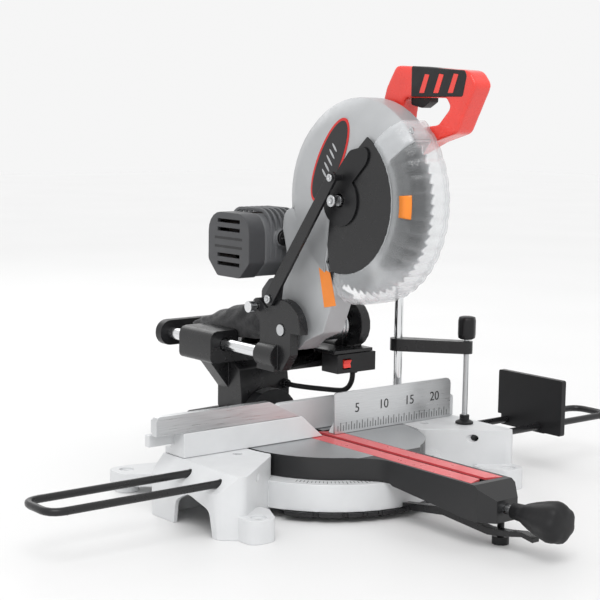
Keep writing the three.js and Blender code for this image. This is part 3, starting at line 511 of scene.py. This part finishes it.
CARRIED = {
    WHITE_CAST: ("base_casting", "fence_casting"),
    BLACK_PAINT: ("detent_plate", "support_bar_left", "support_bar_right", "clamp_arm",
                  "detent_lever", "guard_link", "bevel_housing", "carriage_yoke"),
    BLACK_PLASTIC: ("stop_plate", "clamp_pad", "foot_screw", "bevel_lock_lever", "slide_lock_knob",
                    "rail_cap", "switch_box", "guard_hub", "trigger", "lock_off_button"),
    PLATE: ("fence_slider", "ruler_plate"),
    CHROME_Z: ("clamp_post",),
    CHROME_Y: ("rail_left", "rail_right"),
    CHROME_X: ("head_lock_pin",),
    TABLE_METAL: ("turntable_casting",),
    PINK_PLASTIC: ("kerf_plate_left", "kerf_plate_right"),
    STEEL_X: ("pivot_shaft", "motor_pulley", "arbor_pulley", "arbor_shaft", "blade_flange_inner",
              "blade_flange_outer", "arbor_bolt"),
    STEEL_Y: ("miter_lock_screw", "bevel_bolt"),
    STEEL_Z: ("turntable_pin",),
    RED_PLASTIC: ("rocker_switch",),
    GREY_CAST: ("head_casting",),
    DARK_PLASTIC: ("motor_end_cap",),
    RUBBER: ("drive_belt", "cord_plug"),
    COPPER: ("motor_armature",),
}
FINE = {"base_casting": 0.8, "fence_casting": 1.2, "head_casting": 2.2, "bevel_housing": 1.0,
        "motor_end_cap": 1.0, "carriage_yoke": 1.0, "switch_box": 0.8, "cord_plug": 1.2}
for material, names in CARRIED.items():
    for name in names:
        dress(name, material, FINE.get(name, 0.35))
dress("guard_plate", BLACK_PAINT, 0.5)
moulded("motor_housing", GREY_PLASTIC)
moulded("gear_case", BLACK_PLASTIC)
moulded("handle", RED_PLASTIC, 1.5, 14)
moulded("dust_chute", DARK_PLASTIC, 1.5)


# ---- Head --------------------------------------------------------------------
ARBOR = (-73, 412)


def saw_blade():
    teeth = []
    count = 60
    for tooth in range(count):
        for share, radius in ((0.0, 127), (0.12, 126.4), (0.45, 123.5), (0.8, 121.5), (0.93, 122.5)):
            angle = 2 * math.pi * (tooth + share) / count
            teeth.append((ARBOR[0] + radius * math.cos(angle), ARBOR[1] + radius * math.sin(angle)))
    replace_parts(prism("toothed_blade", "x", teeth, -1.2, 1.2, BLADE_STEEL, "arbor", "blade_steel",
                      bevel=0.0, smooth=False), "blade")


def clear_guard():
    profile = [(97, -46), (108, -46), (128, -36), (138.5, -22), (138.5, 16.5), (104, 16.5),
               (104, 14.1), (136.1, 14.1), (136.1, -21), (126.8, -34.2), (107.4, -43.6), (97, -43.6)]
    fine = []
    for (r, x), (next_r, next_x) in zip(profile, profile[1:] + profile[:1]):
        parts = 4 if math.hypot(next_r - r, next_x - x) > 8 else 1
        fine += [(r + (next_r - r) * k / parts, x + (next_x - x) * k / parts) for k in range(parts)]

    def ribs(angle, radius, along):
        depth = 0.011 if radius > 126 else 0.004
        return 1 - depth * (0.5 + 0.5 * math.cos(angle * 42)) ** 2
    rows, first_angle, sweep = 294, 130, 147
    vertices, faces = turned_mesh("x", ARBOR, fine, rows, first_angle, sweep, wave=ribs)
    size = len(fine)
    for row in range(rows):
        faces.append((row * size + size - 1, row * size, (row + 1) * size, (row + 1) * size + size - 1))
    faces += [tuple(range(size)), tuple(range(rows * size, (rows + 1) * size))]
    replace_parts(piece("ribbed_guard", vertices, faces, CLEAR, "guard", "clear"), "lower_guard")


def guard_sticker():
    band = [(111, -45.1), (126, -37.6), (126, -37.2), (111, -44.7)]
    vertices, faces = turned_mesh("x", ARBOR, band, 12, 174, 14)
    size = len(band)
    faces += [(r * size + 3, r * size, (r + 1) * size, (r + 1) * size + 3) for r in range(12)]
    faces += [(0, 1, 2, 3), tuple(12 * size + k for k in range(4))]
    piece("guard_sticker", vertices, faces, ORANGE, "guard", None)


def oval(name, centre, half_long, half_short, tilt, low, high, material):
    points = []
    for step in range(48):
        angle = 2 * math.pi * step / 48
        u, v = half_long * math.cos(angle), half_short * math.sin(angle)
        c, s = math.cos(math.radians(tilt)), math.sin(math.radians(tilt))
        points.append((centre[0] + u * c - v * s, centre[1] + u * s + v * c))
    prism(name, "x", points, low, high, material, "head", None, bevel=0.15)


def head_badges():
    tilt = math.degrees(math.atan2(119, -71))
    centre = (-42, 463)
    oval("badge_border", centre, 64, 24, tilt, -40.7, -39.9, RED_INK)
    oval("badge_field", centre, 60, 20.5, tilt, -41.0, -40.6, BLACK_INK_AND_SHADE)
    for index in range(5):
        place = (centre[0] + 10 * (index - 2) * math.cos(math.radians(tilt)),
                 centre[1] + 10 * (index - 2) * math.sin(math.radians(tilt)))
        oval("badge_bar_%d" % index, place, 9 - abs(index - 2), 1.6, tilt - 70, -41.3, -40.9, GREY_CAST)
    sticker = [(-20, 320), (-44, 314), (-57, 271), (-33, 266)]
    prism("neck_sticker", "x", sticker, -38.5, -37.9, ORANGE, "head", None, bevel=0.1)
    for name, y, z, radius in (("hood_bolt", -34, 405, 6), ("pin_bolt", -199, 505, 4),
                               ("hub_bolt", -101, 445, 5)):
        bolt(name, (y, z), -39.8, -42.6, radius, "head")


def bolt(name, centre, seat, top, radius, body, slot="steel", axis="x", material=None):
    """A socket bolt head with its hole, on an axis, from its seat to its top."""
    step = 1 if top > seat else -1
    deep = top - step * 0.45 * abs(top - seat)
    profile = [(0, seat), (radius, seat), (radius, top - step * 0.4), (radius - 0.4, top),
               (radius * 0.45, top), (radius * 0.45, deep), (0, deep)]
    turned(name, axis, centre, profile, material or STEEL_X, body, slot, count=28)


def handle_grip():
    outline = rounded([(-134, 547, 2), (-134, 586.6, 2), (-236, 579.4, 8), (-228, 547, 4)])
    grip = prism("handle_grip", "x", outline, 16.6, 47.8, SOFT_GRIP, "head", "rubber", bevel=5, segments=4)
    grip.modifiers["edges"].angle_limit = math.radians(50)
    for index in range(3):
        low = -150 - 26 * index
        stripe = [(low, 552), (low - 10, 576), (low - 18, 575), (low - 9, 552)]
        prism("grip_stripe_%d" % index, "x", stripe, 16.2, 48.2, RED_PLASTIC, "head", "red_plastic",
              bevel=0.3)


def motor_details():
    turned("brush_cap", "y", (-32, 352), [(0, 62.4), (9, 62.4), (9.8, 63.4), (9.8, 66), (0, 66)],
           BLACK_PLASTIC, "head", "black_plastic", bevel=0.3)
    # The cap's two vent slots are not cut: thin black strips on the cap face are painted shade for their
    # dark insides.
    for z in (338, 350):
        box("cap_slot_shade_%d" % z, (-90.2, -89.8), (84, 148), (z - 1.8, z + 1.8), BLACK_INK_AND_SHADE, "head",
            "black_plastic", 0.1)
    box("brush_slot", (-38, -26), (61.9, 62.6), (351.2, 352.8), STEEL_X, "head", "steel", 0.1)
    ring = rounded([(68.2, 309, 20), (163.8, 309, 20), (163.8, 392, 26), (68.2, 392, 26)], 8)
    hole = rounded([(72, 313, 18), (160, 313, 18), (160, 388, 24), (72, 388, 24)], 8)
    count = len(ring)
    for index in range(6):
        x = -52 + 9 * index
        vertices = [(along, u, v) for along in (x, x + 3.2) for line in (ring, hole) for u, v in line]
        faces = []
        for i in range(count):
            j = (i + 1) % count
            for a, b in ((0, 2), (1, 3), (0, 1), (2, 3)):
                faces.append((a * count + i, a * count + j, b * count + j, b * count + i))
        piece("motor_rib_%d" % index, vertices, faces, GREY_PLASTIC, "head", "grey_plastic", bevel=0.6)


def return_spring():
    coil = []
    turns = 7
    for step in range(turns * 24 + 1):
        angle = 2 * math.pi * step / 24
        along = 7 + 40 * step / (turns * 24)
        coil.append((along, 33 + 18.4 * math.cos(angle), 229 + 18.4 * math.sin(angle)))
    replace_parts(swept("coil_spring", coil, 2.6, STEEL_X, "carriage", "steel", sides=12), "head_spring")


for build in (saw_blade, clear_guard, guard_sticker, head_badges, handle_grip, motor_details,
              return_spring):
    build()
bolt("link_bolt_low", (54, 270), -66, -69.5, 6, "link")
bolt("link_bolt_high", (-75, 442), -66, -69.5, 5, "link")
bolt("guard_hub_bolt", ARBOR, -60.2, -64.5, 8, "guard")


# ---- Table, fence and clamp --------------------------------------------------
def boxes(name, spans, material, body, slot):
    """Several small boxes in one mesh."""
    vertices, faces = [], []
    for x, y, z in spans:
        first = len(vertices)
        vertices += [(a, b, c) for a in x for b in y for c in z]
        for corner in ((0, 1, 3, 2), (4, 6, 7, 5), (0, 4, 5, 1), (2, 3, 7, 6), (0, 2, 6, 4), (1, 5, 7, 3)):
            faces.append(tuple(first + k for k in corner))
    return piece(name, vertices, faces, material, body, slot, smooth=False)


def ruler_marks():
    marks = []
    for step in range(43):
        x = 15 + 5 * step
        tall = 12 if step % 2 else 8
        marks.append(((x - 0.35, x + 0.35), (-3.25, -3.0), (84, 84 + tall)))
    boxes("ruler_ticks", marks, BLACK_INK_AND_SHADE, "base", "black_paint")
    for value in (5, 10, 15, 20):
        curve = bpy.data.curves.new("number", "FONT")
        curve.body = str(value)
        curve.size = 0.019
        curve.extrude = 0.00015
        curve.align_x = "CENTER"
        shape = bpy.data.objects.new("number", curve)
        scene.collection.objects.link(shape)
        graph = bpy.context.evaluated_depsgraph_get()
        mesh = bpy.data.meshes.new_from_object(shape.evaluated_get(graph))
        bpy.data.objects.remove(shape)
        number = bpy.data.objects.new("ruler_%d" % value, mesh)
        scene.collection.objects.link(number)
        mesh.materials.clear()
        mesh.materials.append(BLACK_INK_AND_SHADE)
        turn = Matrix.Rotation(math.radians(90), 4, "X")
        mesh.transform(Matrix.Translation((value * 0.01, -0.0031, 0.108)) @ turn)
        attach(number, "base")


def base_scale():
    """Degree marks on the deck round the front of the turntable."""
    vertices, faces = [], []
    for degree in range(-56, 57, 2):
        angle = math.radians(270 + degree)
        ahead = Vector((math.cos(angle), math.sin(angle), 0))
        side = Vector((-ahead.y, ahead.x, 0)) * 0.35
        first = len(vertices)
        long = 12 if degree % 10 == 0 else 8
        for height in (50.0, 50.25):
            for reach, offset in ((141, -1), (141 + long, -1), (141 + long, 1), (141, 1)):
                vertices.append(tuple(ahead * reach + side * offset + Vector((0, 0, height))))
        for face in ((0, 1, 2, 3), (7, 6, 5, 4), (0, 4, 5, 1), (1, 5, 6, 2), (2, 6, 7, 3), (3, 7, 4, 0)):
            faces.append(tuple(first + k for k in face))
    piece("base_scale", vertices, faces, BLACK_INK_AND_SHADE, "base", "black_paint", smooth=False)


def clamp_parts():
    thread = [(0, 88)]
    z = 88.6
    while z < 203:
        thread += [(4.15, z), (3.6, z + 0.75), (4.15, z + 1.5)]
        z += 1.55
    thread += [(3.6, 203.8), (0, 203.8)]

    def lobes(angle, radius, along):
        return 1 - (0.05 * (0.5 + 0.5 * math.cos(6 * angle)) if radius > 6 else 0)
    screw = turned("clamp_thread", "z", (214, -52), thread, STEEL_Z, "clamp_spindle", "steel", count=24)
    knob = [(0, 204), (9, 204), (12.4, 206), (13, 211), (13, 231), (11.8, 236), (8, 237), (0, 237)]
    turned("clamp_knob", "z", (214, -52), knob, BLACK_PLASTIC, "clamp_spindle", "black_plastic",
           count=72, wave=lobes)
    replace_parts(screw, "clamp_screw")


def lock_knob():
    profile = [(0, -352.4), (10, -352.4), (11, -368), (14, -374), (18, -385), (23, -402), (26, -416),
               (25.6, -422), (24, -427), (21, -430.4), (16, -432.2), (8, -432.9), (0, -433)]

    def lobes(angle, radius, along):
        return 1 - (0.075 * (0.5 + 0.5 * math.cos(7 * angle)) if radius > 13 else 0)
    knob = turned("lobed_miter_knob", "y", (0, 51), profile, RUBBER, "miter_knob", "rubber", count=112,
                  wave=lobes)
    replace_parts(knob, "miter_lock_knob")


for build in (ruler_marks, base_scale, clamp_parts, lock_knob):
    build()


# ---- Dust bag ----------------------------------------------------------------
def dust_bag():
    outline = rounded([(112, 259, 8), (112, 210, 12), (160, 198, 16), (236, 196, 20), (294, 198, 8),
                       (297, 208, 6), (261, 219, 20), (180, 245, 40), (140, 245, 2)])
    bag = prism("cloth_bag", "x", outline, -27, 27, CLOTH, None, "bag")
    grid = bag.modifiers.new("grid", "REMESH")
    grid.voxel_size = 5 * MM
    graph = bpy.context.evaluated_depsgraph_get()
    bag.data = bpy.data.meshes.new_from_object(bag.evaluated_get(graph))
    bag.modifiers.clear()
    start = [v.co.copy() for v in bag.data.vertices]
    cloth = bag.modifiers.new("cloth", "CLOTH")
    cloth.settings.use_pressure = True
    cloth.settings.uniform_pressure_force = 4
    cloth.settings.effector_weights.gravity = 0
    for moment in range(1, 21):
        scene.frame_set(moment)
    graph = bpy.context.evaluated_depsgraph_get()
    settled = [v.co.copy() for v in bag.evaluated_get(graph).data.vertices]
    bag.modifiers.clear()
    scene.frame_set(1)
    for vertex, first, last in zip(bag.data.vertices, start, settled):
        shift = last - first
        vertex.co = first + shift * min(1.0, 0.004 / max(shift.length, 1e-9))
    bag.data.update()
    normals = [v.normal.copy() for v in bag.data.vertices]
    for vertex, normal in zip(bag.data.vertices, normals):
        y, z = vertex.co.y, vertex.co.z
        fold = math.sin(y * 190 + z * 260 + 3 * math.sin(z * 90)) * 0.5 + math.sin(y * 90 - z * 310) * 0.5
        vertex.co += normal * fold * 0.0017
    bag.data.materials.clear()
    bag.data.materials.append(CLOTH)
    for polygon in bag.data.polygons:
        polygon.use_smooth = True
    fine = bag.modifiers.new("fine", "SUBSURF")
    fine.levels = fine.render_levels = 1
    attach(bag, "head")
    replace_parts(bag, "dust_bag")


dust_bag()


# ---- Studio ------------------------------------------------------------------
def studio():
    shader = Shader("studio_floor")
    shade = shader.mix(shader.spread(shader.noise(400), 0, 1), (0.79, 0.79, 0.79), (0.81, 0.81, 0.81))
    floor_material = shader.finish(shade, shader.spread(shader.noise(200), 0.5, 0.6),
                                   shader.bump(shader.noise(3), 0.02, 0.1))
    floor = piece("floor", [(-9000, -9000, 0), (9000, -9000, 0), (9000, 9000, 0), (-9000, 9000, 0)],
                  [(0, 1, 2, 3)], floor_material, None, None)
    world = bpy.data.worlds.new("studio")
    scene.world = world
    world.use_nodes = True
    back = world.node_tree.nodes["Background"]
    back.inputs["Color"].default_value = (1, 1, 1, 1)
    back.inputs["Strength"].default_value = 0.92
    sky = bpy.data.lights.new("sky", "SUN")
    sky.energy = 0.9
    sky.angle = math.radians(35)
    sun = bpy.data.objects.new("sky", sky)
    sun.rotation_euler = (math.radians(38), 0, math.radians(-40))
    scene.collection.objects.link(sun)
    for name, place, size, power in (("key", (-1.2, -1.4, 2.4), 1.4, 9), ("rim", (0.4, 2.2, 1.8), 1.4, 8)):
        data = bpy.data.lights.new(name, "AREA")
        data.size = size
        data.energy = power
        lamp = bpy.data.objects.new(name, data)
        lamp.location = place
        aim = Vector((0, 0, 0.25)) - Vector(place)
        lamp.rotation_euler = aim.to_track_quat("-Z", "Y").to_euler()
        scene.collection.objects.link(lamp)
    scene.view_settings.view_transform = "Standard"


studio()
